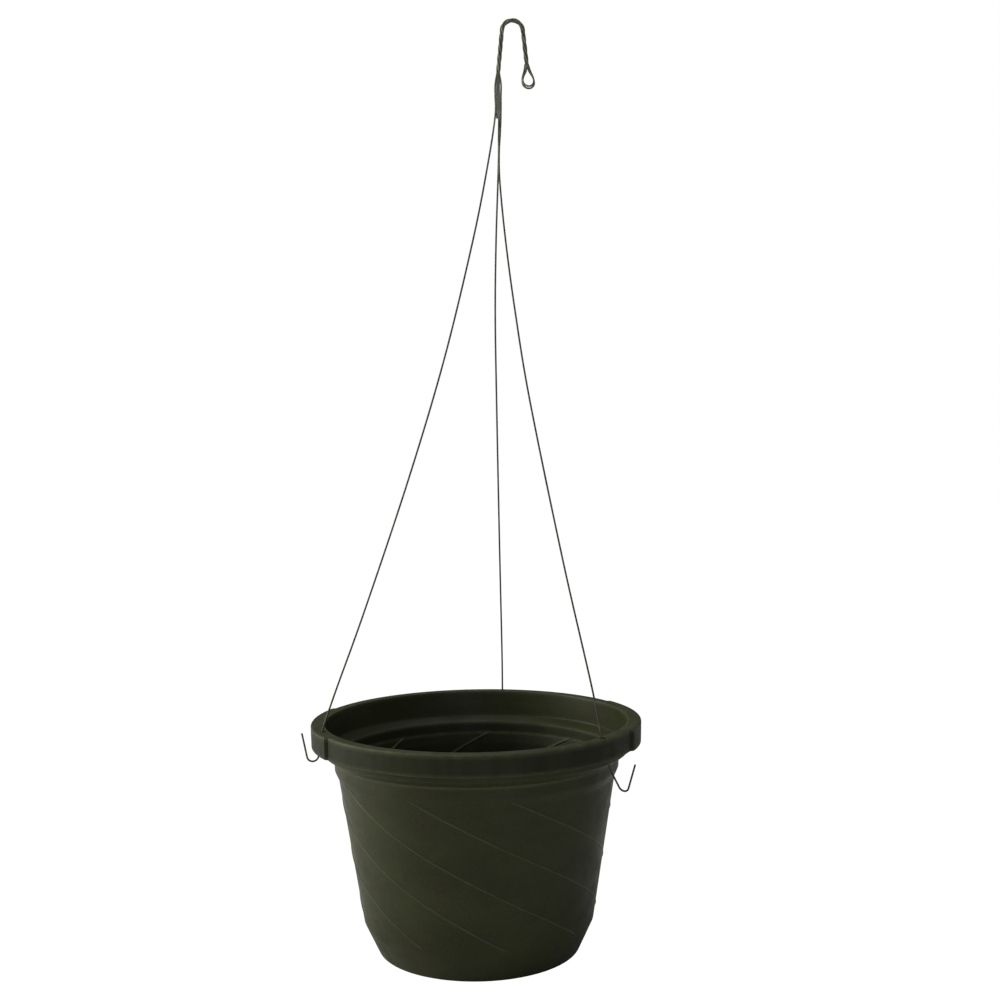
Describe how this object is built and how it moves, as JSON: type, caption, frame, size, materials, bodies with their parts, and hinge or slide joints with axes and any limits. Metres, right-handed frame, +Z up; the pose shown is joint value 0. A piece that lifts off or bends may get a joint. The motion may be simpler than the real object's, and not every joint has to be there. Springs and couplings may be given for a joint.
{
  "type": "hanging basket",
  "caption": "Round tapered plastic hanging pot with an overhanging rim and a wire hanger whose legs hook under the rim.",
  "frame": {"origin": "centre of the pot's underside, where its axis meets the surface it stands on", "axes": "+Z up the pot's axis; +X through one rim ear and -X through the other; the hanger leans towards +X"},
  "size_m": [0.2605, 0.2571, 0.7138],
  "materials": {
    "pot_plastic": "moulded dark green, slightly satin",
    "wire_steel": "dull drawn wire"
  },
  "bodies": {
    "pot": {"pot": "pot_plastic"},
    "hanger": {"double_leg_wire": "wire_steel", "single_leg_wire": "wire_steel"},
    "left_hook": {"left_rim_hook": "wire_steel"},
    "right_hook": {"right_rim_hook": "wire_steel"},
    "back_hook": {"back_rim_hook": "wire_steel"}
  },
  "joints": [
    {"name": "hanger_lift", "type": "slide", "parent": "pot", "child": "hanger", "axis": [0, 0, 1], "range_m": [0, 0.0015]},
    {"name": "left_hook_turn", "type": "hinge", "parent": "hanger", "child": "left_hook", "pos_m": [-0.11857, -0.034, 0.1658], "axis": [0.1426, 0.0409, 0.9889], "range_deg": [-38, 46], "stiffness_Nm_per_rad": 0.06},
    {"name": "right_hook_turn", "type": "hinge", "parent": "hanger", "child": "right_hook", "pos_m": [0.09136, -0.0821, 0.1578], "axis": [-0.2453, -0.059, 0.9676], "range_deg": [-30, 44], "stiffness_Nm_per_rad": 0.06},
    {"name": "back_hook_turn", "type": "hinge", "parent": "hanger", "child": "back_hook", "pos_m": [0.02961, 0.11875, 0.1608], "axis": [-0.0288, -0.1156, 0.9929], "range_deg": [-40, 40], "stiffness_Nm_per_rad": 0.06}
  ]
}
